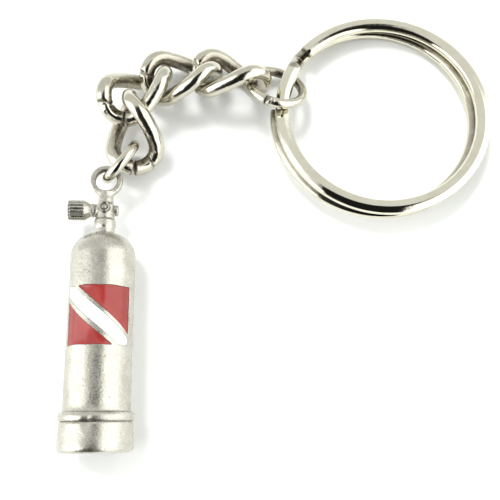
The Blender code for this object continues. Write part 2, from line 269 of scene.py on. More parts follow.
def store_patina_and_shade(obj, values):
    """Keep how dark each vertex is painted, for patina and dirt and for painted shade, where the metal
    materials read it.
    """
    obj.data.attributes.new("patina_and_shade", "FLOAT", "POINT").data.foreach_set("value", values)


def ridge(value, centre, width):
    """1 at centre, falling smoothly to 0 at width from it."""
    return np.exp(-((value - centre) / width) ** 2)


# ---- materials -------------------------------------------------------------------------------------
def new_material(name):
    """A material with its node tree, its Principled shader and a helper that adds nodes."""
    material = bpy.data.materials.new(name)
    material.use_nodes = True
    tree = material.node_tree
    shader = tree.nodes["Principled BSDF"]

    def add(kind, inputs=None, **settings):
        node = tree.nodes.new(kind)
        for key, value in settings.items():
            setattr(node, key, value)
        for key, value in (inputs or {}).items():
            if isinstance(value, bpy.types.NodeSocket):
                tree.links.new(value, node.inputs[key])
            else:
                node.inputs[key].default_value = value
        return node

    return material, tree, shader, add


def ramp(add, factor, stops):
    """A colour ramp node over factor, with (place, colour) stops."""
    node = add("ShaderNodeValToRGB", {"Fac": factor})
    node.color_ramp.elements.remove(node.color_ramp.elements[1])
    for k, (place, colour) in enumerate(stops):
        element = node.color_ramp.elements[0] if k == 0 else node.color_ramp.elements.new(place)
        element.position = place
        element.color = (*colour, 1)
    return node


def grey(value):
    return (value, value, value)


# The near blacks that patina, dirt and painted shade are mixed towards.
PEWTER_DARK = (0.085, 0.075, 0.06, 1.0)
PEWTER_PIT = (0.26, 0.25, 0.20, 1.0)
NICKEL_DARK = (0.12, 0.095, 0.07, 1.0)
METAL_BUMP = 0.00006
ENAMEL_BUMP = 0.00008


def pewter_material():
    """Satin cast metal: pebbly grain, small pits, and a dark mix of patina and painted shade where the mesh's
    stored darkness asks for it.
    """
    material, tree, shader, add = new_material("pewter")
    place = add("ShaderNodeTexCoord").outputs["Object"]
    cloud = add("ShaderNodeTexNoise", {"Vector": place, "Scale": 420.0, "Detail": 5.0, "Roughness": 0.6})
    grain = add("ShaderNodeTexNoise", {"Vector": place, "Scale": 4200.0, "Detail": 3.0, "Roughness": 0.65})
    swell = add("ShaderNodeTexNoise", {"Vector": place, "Scale": 1700.0, "Detail": 3.0, "Roughness": 0.6})
    pits = add("ShaderNodeTexVoronoi", {"Vector": place, "Scale": 620.0, "Randomness": 1.0})
    pit_depth = ramp(add, pits.outputs["Distance"], [(0.0, grey(0.0)), (0.03, grey(0.2)), (0.07, grey(1.0))])
    tones = [(0.25, (0.44, 0.425, 0.365)), (0.5, (0.53, 0.515, 0.455)), (0.75, (0.60, 0.59, 0.53))]
    tone = ramp(add, cloud.outputs["Fac"], tones)
    pitted = add("ShaderNodeMix", {"Factor": pit_depth.outputs["Color"], "A": PEWTER_PIT,
                                   "B": tone.outputs["Color"]}, data_type="RGBA")
    mottle = ramp(add, grain.outputs["Fac"], [(0.35, grey(0.90)), (0.65, grey(1.12))])
    mottled = add("ShaderNodeMix", {"Factor": 1.0, "A": pitted.outputs["Result"],
                                    "B": mottle.outputs["Color"]}, data_type="RGBA", blend_type="MULTIPLY")
    # Painted shade with patina: the hollows the mesh marks are mixed towards a near black.
    patina_and_shade = add("ShaderNodeAttribute", attribute_name="patina_and_shade").outputs["Fac"]
    amount = add("ShaderNodeMath", {0: patina_and_shade, 1: 0.85}, operation="MULTIPLY")
    final = add("ShaderNodeMix", {"Factor": amount.outputs[0], "A": mottled.outputs["Result"],
                                  "B": PEWTER_DARK}, data_type="RGBA")
    tree.links.new(final.outputs["Result"], shader.inputs["Base Color"])
    gloss = ramp(add, swell.outputs["Fac"], [(0.3, grey(0.23)), (0.7, grey(0.34))])
    tree.links.new(gloss.outputs["Color"], shader.inputs["Roughness"])
    height = add("ShaderNodeMath", {0: grain.outputs["Fac"], 1: 0.9}, operation="MULTIPLY")
    height = add("ShaderNodeMath", {0: height.outputs[0], 1: swell.outputs["Fac"]}, operation="ADD")
    height = add("ShaderNodeMath", {0: height.outputs[0], 1: pit_depth.outputs["Color"]}, operation="ADD")
    bump = add("ShaderNodeBump", {"Strength": 0.55, "Distance": METAL_BUMP, "Height": height.outputs[0]})
    tree.links.new(bump.outputs["Normal"], shader.inputs["Normal"])
    shader.inputs["Metallic"].default_value = 0.95
    return material


def nickel_material(name, tone_low, tone_high, roughness, wave):
    """Bright nickel plate: faint cloudiness, fine scratches, and dirt with painted shade where the mesh's
    stored darkness asks for it.
    """
    material, tree, shader, add = new_material(name)
    place = add("ShaderNodeTexCoord").outputs["Object"]
    cloud = add("ShaderNodeTexNoise", {"Vector": place, "Scale": 300.0, "Detail": 5.0, "Roughness": 0.65})
    tone = ramp(add, cloud.outputs["Fac"], [(0.3, tone_low), (0.7, tone_high)])
    # Dirt and painted shade: the inner sides, creases, cut ends and touching coils that the mesh marks turn
    # dark in patches.
    patina_and_shade = add("ShaderNodeAttribute", attribute_name="patina_and_shade").outputs["Fac"]
    patchy = ramp(add, cloud.outputs["Fac"], [(0.35, grey(0.35)), (0.6, grey(1.0))])
    dirt_and_shade = add("ShaderNodeMath", {0: patina_and_shade, 1: patchy.outputs["Color"]}, operation="MULTIPLY")
    colour = add("ShaderNodeMix", {"Factor": dirt_and_shade.outputs[0], "A": tone.outputs["Color"], "B": NICKEL_DARK},
                 data_type="RGBA")
    tree.links.new(colour.outputs["Result"], shader.inputs["Base Color"])
    waves = add("ShaderNodeTexNoise", {"Vector": place, "Scale": 650.0, "Detail": 2.0, "Roughness": 0.5})
    stretched = add("ShaderNodeMapping", {"Vector": place, "Scale": (9000.0, 1200.0, 2400.0),
                                          "Rotation": (0.4, 0.2, 0.7)})
    hairs = add("ShaderNodeTexNoise", {"Vector": stretched.outputs[0], "Scale": 1.0, "Detail": 2.0,
                                       "Roughness": 0.8})
    gloss = ramp(add, hairs.outputs["Fac"], [(0.35, grey(roughness * 0.7)), (0.75, grey(roughness * 1.6))])
    gloss = add("ShaderNodeMath", {0: dirt_and_shade.outputs[0], 1: 0.25, 2: gloss.outputs["Color"]},
                operation="MULTIPLY_ADD")
    tree.links.new(gloss.outputs[0], shader.inputs["Roughness"])
    height = add("ShaderNodeMath", {0: hairs.outputs["Fac"], 1: 0.12}, operation="MULTIPLY")
    height = add("ShaderNodeMath", {0: height.outputs[0], 1: waves.outputs["Fac"]}, operation="ADD")
    bump = add("ShaderNodeBump", {"Strength": wave, "Distance": METAL_BUMP, "Height": height.outputs[0]})
    tree.links.new(bump.outputs["Normal"], shader.inputs["Normal"])
    shader.inputs["Metallic"].default_value = 1.0
    return material


def enamel_material(name, low, high, roughness):
    """Poured enamel: glossy, a little uneven, with faint specks."""
    material, tree, shader, add = new_material(name)
    place = add("ShaderNodeTexCoord").outputs["Object"]
    cloud = add("ShaderNodeTexNoise", {"Vector": place, "Scale": 330.0, "Detail": 3.0, "Roughness": 0.5})
    tone = ramp(add, cloud.outputs["Fac"], [(0.3, low), (0.7, high)])
    tree.links.new(tone.outputs["Color"], shader.inputs["Base Color"])
    specks = add("ShaderNodeTexNoise", {"Vector": place, "Scale": 2600.0, "Detail": 2.0})
    height = add("ShaderNodeMath", {0: specks.outputs["Fac"], 1: 0.15}, operation="MULTIPLY")
    height = add("ShaderNodeMath", {0: height.outputs[0], 1: cloud.outputs["Fac"]}, operation="ADD")
    bump = add("ShaderNodeBump", {"Strength": 0.25, "Distance": ENAMEL_BUMP, "Height": height.outputs[0]})
    tree.links.new(bump.outputs["Normal"], shader.inputs["Normal"])
    gloss = ramp(add, specks.outputs["Fac"], [(0.3, grey(roughness)), (0.7, grey(roughness * 1.5))])
    tree.links.new(gloss.outputs["Color"], shader.inputs["Roughness"])
    shader.inputs["IOR"].default_value = 1.52
    return material


# ---- charm: the turned body ------------------------------------------------------------------------
BODY_TURNS = 160
BOOT_RADIUS = 4.75
BOOT_ROUNDING = 0.7
# Per ring of the boot's wall: how much narrower and how much higher it is than the one below.
BOOT_TAPER = (0.055, 0.72)
BOOT_TOP = [(4.575, 3.35), (4.56, 3.55), (4.50, 3.68), (4.43, 3.76)]
BEAD_RING_RADIUS = 4.42
BEAD_REACH = 0.3
BEAD_RISE = 0.55
BEAD_TOP = [(4.36, 4.86), (4.26, 4.92)]
CYLINDER_START = 5.05
CYLINDER_STEPS = 26
SHOULDER_STEPS = 24
SHOULDER_TOP_RADIUS = 1.45
NECK_CORE = [(1.3, 28.0), (1.24, 28.15), (1.2, 28.6), (1.1, 29.2), (0.0, 29.2)]
# The nick across the boot's bead, seen from the front: its angle and half width in radians, then cuts
# as the heights it lies between and its depth.
NICK_ANGLE = -0.12
NICK_HALF_WIDTH = 0.11
NICK_CUTS = ((3.7, 4.9, 0.13), (3.2, 3.8, 0.10))
FLAT_END = 0.2
SWELL_LIMIT = 0.02


def body_profile():
    """(radius, height) points from the centre of the boot's flat end to the top of the neck."""
    points = [(0.0, 0.0), (2.0, 0.0), (3.6, 0.0)]
    flat = BOOT_RADIUS - BOOT_ROUNDING
    for a in range(0, 91, 15):
        height = BOOT_ROUNDING - BOOT_ROUNDING * math.cos(a * DEG)
        points.append((flat + BOOT_ROUNDING * math.sin(a * DEG), height))
    points += [(BOOT_RADIUS - BOOT_TAPER[0] * k, BOOT_ROUNDING + BOOT_TAPER[1] * k) for k in (1, 2, 3)]
    points += BOOT_TOP
    for a in range(-75, 76, 15):
        height = BEAD_MIDDLE + BEAD_RISE * math.sin(a * DEG)
        points.append((BEAD_RING_RADIUS + BEAD_REACH * math.cos(a * DEG), height))
    points += BEAD_TOP
    for k in range(CYLINDER_STEPS):
        height = CYLINDER_START + (SHOULDER_START - CYLINDER_START) * k / CYLINDER_STEPS
        points.append((CYLINDER_RADIUS, height))
    neck_angle = math.acos((SHOULDER_TOP_RADIUS / CYLINDER_RADIUS) ** (1 / SHOULDER_POWER))
    for k in range(SHOULDER_STEPS + 1):
        a = neck_angle * k / SHOULDER_STEPS
        rise = SHOULDER_HEIGHT * math.sin(a) ** SHOULDER_POWER
        points.append((CYLINDER_RADIUS * math.cos(a) ** SHOULDER_POWER, SHOULDER_START + rise))
    return points + NECK_CORE


def body_radius(radius, height, angle):
    """The turned radius with the unevenness of a casting; angle is from the front, towards +X."""
    if radius == 0:
        return 0
    place = Vector((math.sin(angle) * 0.8, height * 0.22, math.cos(angle) * 0.8))
    swell = noise.noise(place * 1.6) * 0.022 + noise.noise(place * 6) * 0.006
    nick = math.exp(-((angle - NICK_ANGLE) / NICK_HALF_WIDTH) ** 2)
    for low, high, depth in NICK_CUTS:
        if low < height < high:
            swell -= nick * depth
    if height < FLAT_END:
        swell = min(swell, 0)
    return radius + min(swell, SWELL_LIMIT)


def build_body():
    """Points and faces of the turned body, closed at both ends."""
    profile = body_profile()
    points = []
    rows = []
    for radius, height in profile:
        if radius == 0:
            rows.append([len(points)] * BODY_TURNS)
            points.append((0, height, 0))
            continue
        row = []
        for k in range(BODY_TURNS):
            angle = 2 * math.pi * k / BODY_TURNS
            signed = (angle + math.pi) % (2 * math.pi) - math.pi
            reach = body_radius(radius, height, signed)
            row.append(len(points))
            points.append((reach * math.sin(angle), height, reach * math.cos(angle)))
        rows.append(row)
    faces = []
    for lower, upper in zip(rows, rows[1:]):
        for k in range(BODY_TURNS):
            after = (k + 1) % BODY_TURNS
            face = [lower[k], lower[after], upper[after], upper[k]]
            faces.append(list(dict.fromkeys(face)))
    return points, faces


# ---- charm: the cast valve head --------------------------------------------------------------------
# Its box, and its rods as (start, end, radius, ease of the edges). The first four lie along the tank, the
# next five across it, towards the knob or the plug, and the outlet's stands out from its front.
HEAD_LOW = (-5.3, 27.6, -1.7)
HEAD_HIGH = (2.1, 37.9, 2.0)
HEAD_STEP = 0.065
COLLAR = (28.8, 29.92, 1.42, 0.22)
NECK = (27.75, 29.4, 1.32, 0.1)
VALVE_BODY = (29.5, 32.1, 1.27, 0.25)
VALVE_WAIST = (31.0, 34.0, 0.93, 0.15)
STEM = (0.0, 2.2, 0.84, 0.1)
NUT = (1.5, 1.85, 0.96, 0.1)
KNOB_RECESS = (4.68, 6.0, 0.72, 0.1)
PLUG_NECK = (0.0, 1.5, 0.56, 0.05)
PLUG = (1.16, 1.75, 0.73, 0.16)
OUTLET = (0.0, 1.74, 0.72, 0.1)
# A swelling and a groove along their rod: place, half width, size.
WAIST_SWELL = (32.6, 0.5, 0.12)
RIM_GROOVE = (4.62, 0.06, 0.08)
EYE_HALF_WALL = 0.17
EYE_HALF_DEPTH = 0.34
EYE_ROUNDING = 0.2
KNOB_CONE_ENDS = [2.0, 2.7]
KNOB_CONE_RADII = [0.93, 1.36]
KNOB_MIDDLE = 3.4
KNOB_HALF_LENGTH = 1.48
KNOB_EDGE = 0.2
KNOB_FLUTES = 16
FLUTE_START = 2.5
FLUTE_RUN_IN = 0.3
FLUTE_DEPTH = 0.15
# The ring groove's radius, level and section, and the dimple's level and radius, in the outlet's face.
OUTLET_GROOVE = (0.42, 1.76, 0.17)
OUTLET_DIMPLE = (1.79, 0.13)
SHARP_FILLET = 0.05


def valve_head(x, y, z):
    """Distance to the neck collar, valve body, eye, hand knob, outlet and plug, filleted together."""
    round_axis = np.hypot(x, z)
    collar = rod(y, round_axis, *COLLAR)
    neck = rod(y, round_axis, *NECK)
    start, end, radius, ease = VALVE_WAIST
    place, width, rise = WAIST_SWELL
    waist = rod(y, round_axis, start, end, radius + rise * ridge(y, place, width), ease)
    valve = smooth_min(rod(y, round_axis, *VALVE_BODY), waist, 0.45)

    eye_reach = np.hypot(x, y - EYE_CENTRE) - EYE_WIRE_RADIUS
    eye_wall = np.maximum(np.abs(eye_reach) - EYE_HALF_WALL, 0)
    eye = np.hypot(eye_wall, np.maximum(np.abs(z) - EYE_HALF_DEPTH, 0)) - EYE_ROUNDING

    side = np.hypot(y - SIDE_AXIS, z)
    turn = np.arctan2(z, y - SIDE_AXIS)
    stem = rod(-x, side, *STEM)
    nut = rod(-x, side, *NUT)
    cone = np.interp(-x, KNOB_CONE_ENDS, KNOB_CONE_RADII)
    flute = np.clip((-x - FLUTE_START) / FLUTE_RUN_IN, 0, 1) * FLUTE_DEPTH
    flute *= 1 - np.abs(np.cos(KNOB_FLUTES / 2 * turn + 0.4)) ** 0.7
    place, width, depth = RIM_GROOVE
    flute += depth * ridge(-x, place, width)
    knob = smooth_max(side - (cone - flute), np.abs(-x - KNOB_MIDDLE) - KNOB_HALF_LENGTH, KNOB_EDGE)
    knob = smooth_max(knob, -rod(-x, side, *KNOB_RECESS), 0.12)

    plug = smooth_min(rod(x, side, *PLUG), rod(x, side, *PLUG_NECK), 0.12)

    front = np.hypot(x, y - OUTLET_HEIGHT)
    reach, level, radius = OUTLET_GROOVE
    groove = np.hypot(front - reach, z - level) - radius
    level, radius = OUTLET_DIMPLE
    dimple = np.sqrt(front ** 2 + (z - level) ** 2) - radius
    outlet = smooth_max(rod(z, front, *OUTLET), -groove, SHARP_FILLET)
    outlet = smooth_max(outlet, -dimple, SHARP_FILLET)

    foot = smooth_min(collar, neck, 0.2)
    body = valve
    for piece, fillet in ((stem, 0.22), (plug, 0.16), (eye, 0.45), (nut, 0.08), (knob, 0.06),
                          (outlet, SHARP_FILLET), (foot, 0.10)):
        body = smooth_min(body, piece, fillet)
    body = smooth_max(body, EYE_HOLE_RADIUS - np.hypot(x, y - EYE_CENTRE), EYE_ROUNDING)
    uneven = 0.012 * np.sin(5.1 * x + 1.0) * np.sin(4.3 * y) * np.sin(6.0 * z + 0.6)
    uneven += 0.006 * np.sin(13 * x + 2 * y) * np.sin(11 * y - 5 * z)
    return body + uneven


# ---- flag outlines, laid out flat: across is positive to the right, along towards the neck ----------
STRIPE_ANGLE = math.atan2(FLAG_HALF_HEIGHT, FLAG_HALF_WIDTH)
EDGE_WOBBLE = 0.03


def across_stripe(u, v):
    """Distance from the stripe's middle line, positive towards the upper right, and how far down along it."""
    straight = u * math.sin(STRIPE_ANGLE) + v * math.cos(STRIPE_ANGLE) + STRIPE_SHIFT
    run = u * math.cos(STRIPE_ANGLE) - v * math.sin(STRIPE_ANGLE)
    return straight, run


def panel_distance(u, v, margin):
    """Distance to the flag's rectangle, drawn in by the margin, with slightly wavy sides."""
    wobble = EDGE_WOBBLE * np.sin(2.1 * u + 1) + EDGE_WOBBLE * np.sin(2.7 * v)
    past_side = np.abs(u) - (FLAG_HALF_WIDTH - margin)
    past_end = np.abs(v) - (FLAG_HALF_HEIGHT - margin)
    return np.maximum(past_side, past_end) + wobble


def red_distance(side, u, v, margin):
    """Distance to the upper right field (side 1) or the lower left one (side -1), bowed along the stripe."""
    straight, run = across_stripe(u, v)
    bow = (RED_BOW_UPPER if side > 0 else RED_BOW_LOWER) * (1 - (run / RED_BOW_REACH) ** 2)
    line = STRIPE_HALF + WALL + margin + bow - side * straight
    return smooth_max(panel_distance(u, v, margin), line, RED_CORNER)


def stripe_distance(u, v, margin):
    """A band cut off square by the panel's corner at its upper left and rounded off at its lower right."""
    straight, run = across_stripe(u, v)
    half = STRIPE_HALF - margin
    past_end = np.maximum(run - STRIPE_RUN, 0)
    band = np.hypot(straight, past_end) - half
    return smooth_max(panel_distance(u, v, margin), band, STRIPE_CORNER)


ENAMEL_STEP = 0.075
POCKET_STEP = 0.11
POCKET_TOP = 0.42
FLOOR_GAP = 0.02
BOX_MARGIN = 0.3
BOX_TOP = 0.5


def enamel_fill(outline, top, edge_lift, step=ENAMEL_STEP):
    """A poured fill over an outline: flat below, its top curved by edge_lift(depth inside the outline)."""
    floor = POCKET_FLOOR - CYLINDER_RADIUS + FLOOR_GAP

    def distance(u, v, h):
        edge = outline(u, v)
        crown = top + edge_lift(np.maximum(-edge, 0))
        return smooth_max(np.maximum(edge, floor - h), h - crown, FILL_EDGE)

    low = (-FLAG_HALF_WIDTH - BOX_MARGIN, -FLAG_HALF_HEIGHT - BOX_MARGIN, floor - BOX_MARGIN / 2)
    high = (FLAG_HALF_WIDTH + BOX_MARGIN, FLAG_HALF_HEIGHT + BOX_MARGIN, BOX_TOP)
    points, faces = surface_net(distance, low, high, step)
    angle = points[:, 0] / CYLINDER_RADIUS
    radius = CYLINDER_RADIUS + points[:, 2]
    wrapped = np.stack([radius * np.sin(angle), FLAG_CENTRE + points[:, 1], radius * np.cos(angle)], 1)
    return wrapped, faces


def pocket_cutter(outline):
    """The space an outline's pocket takes out of the cylinder, from its floor to well above the surface."""
    return enamel_fill(outline, POCKET_TOP, np.zeros_like, step=POCKET_STEP)


# ---- the charm -------------------------------------------------------------------------------------
# Painted shade, with patina, in grooves round the tank's axis and round the side axis: place along the axis,
# half width, how far out it reaches, strength.
FAR = 9.0
AXIS_PATINA_AND_SHADE = ((27.98, 0.12, 1.6, 0.7), (29.98, 0.1, 1.7, 0.6), (3.74, 0.09, FAR, 0.5), (4.9, 0.07, FAR, 0.4))
SIDE_PATINA_AND_SHADE = ((-1.25, 0.16, 1.1, 0.7), (1.12, 0.12, 0.8, 0.7))
# Painted shade with patina on and round the outlet: distance from its middle, half width, lowest and highest z,
# strength.
OUTLET_PATINA_AND_SHADE = ((0.42, 0.13, 1.45, FAR, 1.0), (0.0, 0.1, 1.45, FAR, 0.8), (0.76, 0.09, 0.8, 1.55, 0.8))
PATINA_AND_SHADE_FADE = 0.1
KNOB_END = -4.6


def charm_patina_and_shade(obj, matrix):
    """Painted shade, with patina where a polish does not reach: inside the eye, between fittings and along the
    flutes.
    """
    count = len(obj.data.vertices)
    points = np.empty(count * 3)
    obj.data.vertices.foreach_get("co", points)
    back = np.array(matrix.inverted())
    x, y, z = back[:3, :3] @ (points.reshape(-1, 3).T / MM) + back[:3, 3:]
    side = np.hypot(y - SIDE_AXIS, z)
    front = np.hypot(x, y - OUTLET_HEIGHT)
    round_axis = np.hypot(x, z)
    eye = np.clip((EYE_HOLE_RADIUS + 0.22 - np.hypot(x, y - EYE_CENTRE)) / (2 * PATINA_AND_SHADE_FADE), 0, 1)
    below_crests = np.clip((KNOB_CONE_RADII[1] - side) / PATINA_AND_SHADE_FADE, 0, 1)
    flutes = below_crests * np.clip((-x - 2.75) / PATINA_AND_SHADE_FADE, 0, 1) * (x > KNOB_END - PATINA_AND_SHADE_FADE)
    recess = (x < KNOB_END) * np.clip((0.85 - side) / PATINA_AND_SHADE_FADE, 0, 1)
    patina_and_shade = eye + 0.8 * flutes + 0.6 * recess
    for place, width, reach, strength in AXIS_PATINA_AND_SHADE:
        patina_and_shade += strength * ridge(y, place, width) * (round_axis < reach)
    for place, width, reach, strength in SIDE_PATINA_AND_SHADE:
        patina_and_shade += strength * ridge(x, place, width) * (side < reach)
    for place, width, lowest, highest, strength in OUTLET_PATINA_AND_SHADE:
        patina_and_shade += strength * ridge(front, place, width) * (z > lowest) * (z < highest)
    store_patina_and_shade(obj, np.clip(patina_and_shade, 0, 1))


CASTING_SHARP = 50 * DEG
WIRE_SHARP = 38 * DEG


def build_charm():
    """The casting, joined and cut by booleans, and the three enamel fills in its pockets."""
    pewter = pewter_material()
    red = enamel_material("red_enamel", (0.27, 0.026, 0.025), (0.35, 0.038, 0.030), 0.12)
    white = enamel_material("white_enamel", (0.80, 0.80, 0.77), (0.88, 0.88, 0.86), 0.10)
    place = charm_matrix()

    def red_lift(depth):
        return -RED_SAG * (1 - np.exp(-depth / RED_SAG_REACH))

    def white_lift(depth):
        return WHITE_CROWN * (1 - np.exp(-depth / WHITE_CROWN_REACH))

    fields = {
        "flag_red_upper": (lambda u, v, m=0.0: red_distance(1, u, v, m), RED_TOP, red, red_lift),
        "flag_red_lower": (lambda u, v, m=0.0: red_distance(-1, u, v, m), RED_TOP, red, red_lift),
        "flag_white_stripe": (lambda u, v, m=0.0: stripe_distance(u, v, m), WHITE_TOP, white, white_lift),
    }
    body_points, body_faces = build_body()
    casting = make_object("charm_casting", body_points, body_faces, place, pewter)
    head_points, head_faces = surface_net(valve_head, HEAD_LOW, HEAD_HIGH, HEAD_STEP)
    tools = [(make_object("valve_head", head_points, head_faces, place, pewter), "UNION")]
    for name, (outline, *_) in fields.items():
        points, faces = pocket_cutter(outline)
        tools.append((make_object(name + "_pocket", points, faces, place, pewter), "DIFFERENCE"))
    for tool, operation in tools:
        modifier = casting.modifiers.new(tool.name, "BOOLEAN")
        modifier.operation = operation
        modifier.solver = "EXACT"
        modifier.object = tool
    graph = bpy.context.evaluated_depsgraph_get()
    settled = bpy.data.meshes.new_from_object(casting.evaluated_get(graph))
    casting.modifiers.clear()
    casting.data = settled
    settled.set_sharp_from_angle(angle=CASTING_SHARP)
    charm_patina_and_shade(casting, place)
    for tool, _ in tools:
        bpy.data.objects.remove(tool, do_unlink=True)
    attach(casting, "charm")
    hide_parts("tank_casting")

    for name, (outline, top, material, lift) in fields.items():
        points, faces = enamel_fill(lambda u, v: outline(u, v, ENAMEL_GAP), top, lift)
        make_object(name + "_enamel", points, faces, place, material, name, "charm")


# ---- wire pieces -----------------------------------------------------------------------------------
def link_point(share):
    """Point and outward side of the link's wire at a share of its length, as in the CAD."""
    bow = (LINK_WIDTH - LINK_WIRE) / 2
    straight = (LINK_LENGTH - LINK_WIRE) / 2 - bow
    side_length = 2 * straight
    bow_length = math.pi * bow
    run = 2 * (side_length + bow_length) * (share % 1)
    end = -1 if run < side_length + bow_length else 1
    run %= side_length + bow_length
    if run < bow_length:
        angle = run / bow
        out = Vector((math.sin(angle), -math.cos(angle), 0)) * end
        flat = Vector((end * straight, 0, 0)) + out * bow
    else:
        out = Vector((0, end, 0))
        flat = Vector((end * (straight - (run - bow_length)), 0, 0)) + out * bow
    twist = Matrix.Rotation(LINK_TWIST * flat.x / (straight + bow), 3, "X")
    return twist @ flat, twist @ out


def coil_path(stations):
    """The split ring's wire: a turn on top, a short joggle down, and a turn below."""
    radius = (SPLIT_RING_DIAMETER - COIL_WIDTH) / 2
    path = []
    for k in range(stations):
        travel = COIL_TRAVEL * k / (stations - 1)
        share = min(max((travel - JOGGLE_START) / (JOGGLE_END - JOGGLE_START), 0), 1)
        drop = share * share * (3 - 2 * share)
        out = Vector((math.cos(COIL_START - travel), math.sin(COIL_START - travel), 0))
        path.append((out * radius + Vector((-COIL_SHIFT * drop, 0, COIL_PITCH * (0.5 - drop))), out))
    return path


def sweep(path, section):
    """Skin of a wire with two capped ends; section(k) gives its (side, up, darkness) points at station k, the
    darkness being dirt and painted shade.
    """
    points = []
    patina_and_shade = []
    rows = []
    last = len(path) - 1
    for k, (point, out) in enumerate(path):
        forward = (path[min(k + 1, last)][0] - path[max(k - 1, 0)][0]).normalized()
        side = (out - forward * out.dot(forward)).normalized()
        up = forward.cross(side)
        row = []
        for across, along, dark in section(k):
            row.append(len(points))
            points.append(point + side * across + up * along)
            patina_and_shade.append(dark)
        rows.append(row)
    faces = []
    count = len(rows[0])
    for lower, upper in zip(rows, rows[1:]):
        for k in range(count):
            after = (k + 1) % count
            faces.append([lower[k], lower[after], upper[after], upper[k]])
    faces.append(rows[0][::-1])
    faces.append(rows[-1])
    return points, faces, patina_and_shade


def make_wire(name, path, section, material, body):
    """A swept wire standing for the CAD node name, with its dirt and painted shade stored on its vertices."""
    points, faces, patina_and_shade = sweep(path, section)
    obj = make_object(name + "_wire", points, faces, PLACES[name], material, name, body)
    obj.data.set_sharp_from_angle(angle=WIRE_SHARP)
    store_patina_and_shade(obj, patina_and_shade)


# A cut wire's edge is rounded off by this share of its radius.
END_EASE = 0.1
# Stations near a wire's ends and creases: their spacing in mm, how many on each side, and the least spacing.
CLOSE_STEP = 0.035
CLOSE_STEPS = 22
LEAST_STEP = 0.012


def end_ease(distance, radius):
    """Share of its radius a cut wire keeps at a distance from its end, where the edge is rounded off."""
    ease = radius * END_EASE
    if distance >= ease:
        return 1.0
    return 1.0 - END_EASE * (1 - math.sqrt(1 - (1 - distance / ease) ** 2))


def spaced_shares(stations, length, spots=()):
    """Shares from 0 to 1 of a wire's length in mm, closer together at both ends and round each spot."""
    shares = {k / (stations - 1) for k in range(stations)}
    for spot in (0.0, 1.0, *spots):
        shares |= {spot + CLOSE_STEP * k / length for k in range(-CLOSE_STEPS, CLOSE_STEPS + 1)}
    kept = [0.0]
    for share in sorted(shares):
        if kept[-1] + LEAST_STEP / length < share <= 1:
            kept.append(share)
    return kept


LINK_STATIONS = 190
LINK_SIDES = 28
# The crease the pliers left, in mm.
CREASE_DEPTH = 0.2
CREASE_HALF_WIDTH = 0.16
CREASE_SLANT = 0.55
# The squarish stretch between joint and crease: its turn, the share of the radius across its flats, and
# how round its corners stay.
FLATS_TURN = 0.9
FLATS_SHARE = 0.83
FLATS_ROUNDING = 0.86
# Unevenness from noise: long waves, and dents where the noise is above a level.
WAVE_DEPTH = 0.030
DENT_DEPTH = 0.07
DENT_LEVEL = 0.15
# How far from its cut ends the wire is painted dark: painted shade of the joint's gap.
JOINT_DARK = 0.18
# Per link: where its butt joint lies as a share of the wire, the joint's width in mm, where its crease lies.
LINK_JOINTS = {
    "curb_link_1": (0.167, 0.42, 0.285),
    "curb_link_2": (0.300, 0.30, 0.165),
    "curb_link_3": (0.300, 0.20, 0.165),
    "curb_link_4": (0.300, 0.16, 0.165),
}


def build_link(name, material, body):
    """A curb link: round wire bent and twisted, creased and squared by pliers beside its butt joint."""
    joint, gap, crease_share = LINK_JOINTS[name]
    length = 2 * (LINK_LENGTH - LINK_WIDTH) + math.pi * (LINK_WIDTH - LINK_WIRE)
    half_gap = gap / 2 / length
    travel = 1 - 2 * half_gap
    spot = ((crease_share - joint - half_gap) % 1) / travel
    shares = [joint + half_gap + travel * s for s in spaced_shares(LINK_STATIONS, length, (spot,))]
    path = [link_point(share) for share in shares]
    radius = LINK_WIRE / 2
    seed = int(name[-1])
    low, high = sorted((joint, crease_share))

    def section(k):
        share = shares[k] % 1
        from_end = min(shares[k] - shares[0], shares[-1] - shares[k]) * length
        past = (share - crease_share + 0.5) % 1 - 0.5
        cut = math.exp(-(from_end / JOINT_DARK) ** 2)
        ring = []
        for j in range(LINK_SIDES):
            angle = 2 * math.pi * j / LINK_SIDES
            slant = past * length + CREASE_SLANT * math.cos(angle + 0.5)
            crease = math.exp(-(slant / CREASE_HALF_WIDTH) ** 2)
            reach = radius * end_ease(from_end, radius)
            if low < share < high:
                turned = angle - FLATS_TURN
                reach *= FLATS_SHARE / max(abs(math.cos(turned)), abs(math.sin(turned)), FLATS_ROUNDING)
            reach -= CREASE_DEPTH * crease
            place = Vector((share * 26, math.cos(angle), math.sin(angle) + seed * 7))
            reach += WAVE_DEPTH * noise.noise(place * 0.7) - WAVE_DEPTH / 2
            reach -= DENT_DEPTH * max(0.0, noise.noise(place * 1.9) - DENT_LEVEL)
            # Painted shade with dirt on the wire's inner side, and painted shade in the crease and at the cut
            # ends.
            inner = max(0.0, -math.cos(angle))
            ring.append((reach * math.cos(angle), reach * math.sin(angle), max(inner, crease, cut)))
        return ring

    make_wire(name, path, section, material, body)


RING_STATIONS = 150
RING_SIDES = 24
RIDGE_HALF_WIDTH = 0.09
RIDGE_RISE = 0.10
RIDGE_SLANT = 0.3
RIDGE_FOOT = 0.99
# How far from the cut the ring is painted dark: painted shade of the cut's gap.
RING_JOINT_DARK = 0.15
# Per jump ring: the angle it is cut at, the cut's width and the places of tool ridges past it, in mm.
RING_CUTS = {
    "charm_jump_ring": (200 * DEG, 0.08, ()),
    "end_jump_ring": (222 * DEG, 0.10, (0.28, 0.62)),
}


